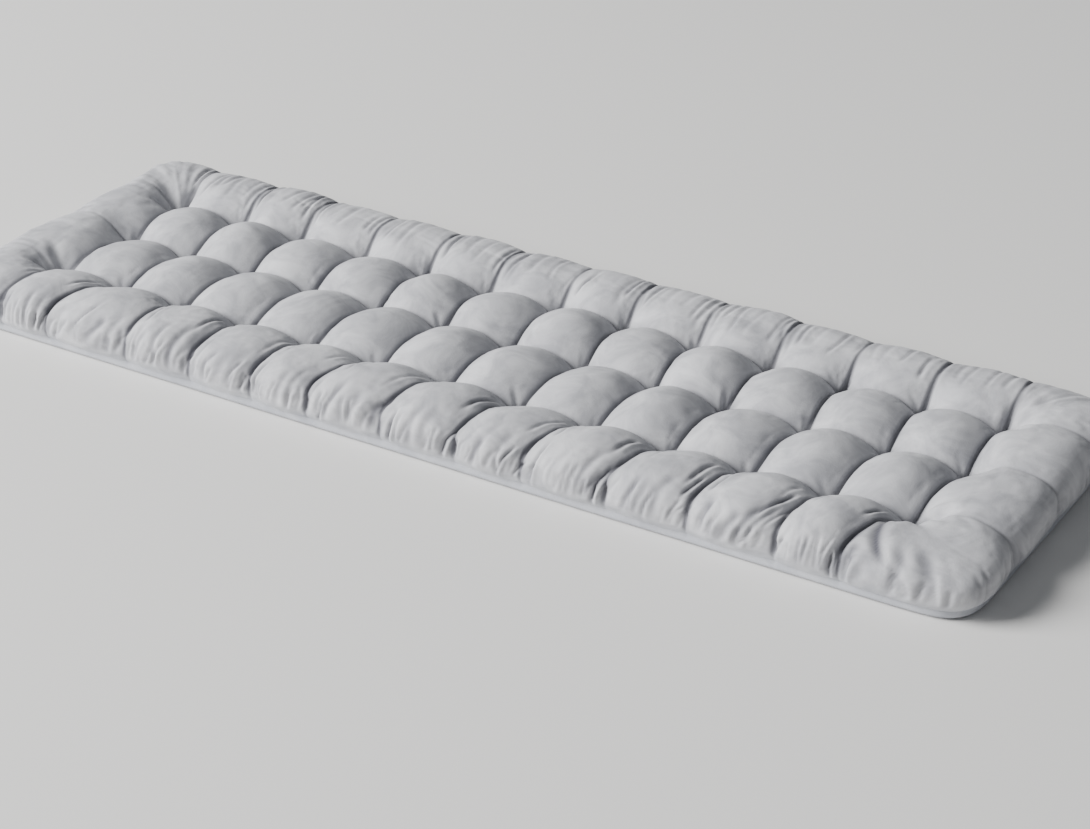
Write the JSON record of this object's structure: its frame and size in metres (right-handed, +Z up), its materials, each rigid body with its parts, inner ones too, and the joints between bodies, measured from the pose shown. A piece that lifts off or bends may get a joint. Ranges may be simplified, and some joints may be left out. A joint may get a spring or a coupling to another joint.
{
  "type": "bench cushion",
  "caption": "Long tufted seat cushion: stuffed puffs in a grid between pulled-down tufts, rolled edges and a flat base.",
  "frame": {"origin": "middle of the flat base, on the surface that the cushion lies on", "axes": "+X along the length, +Y from the front edge to the back edge, +Z up out of the tufted face"},
  "size_m": [1.7992, 0.599, 0.0938],
  "materials": {
    "cover_cloth": "soft brushed microfibre, matt, light grey"
  },
  "bodies": {
    "root": {"cushion": "cover_cloth"}
  },
  "joints": []
}
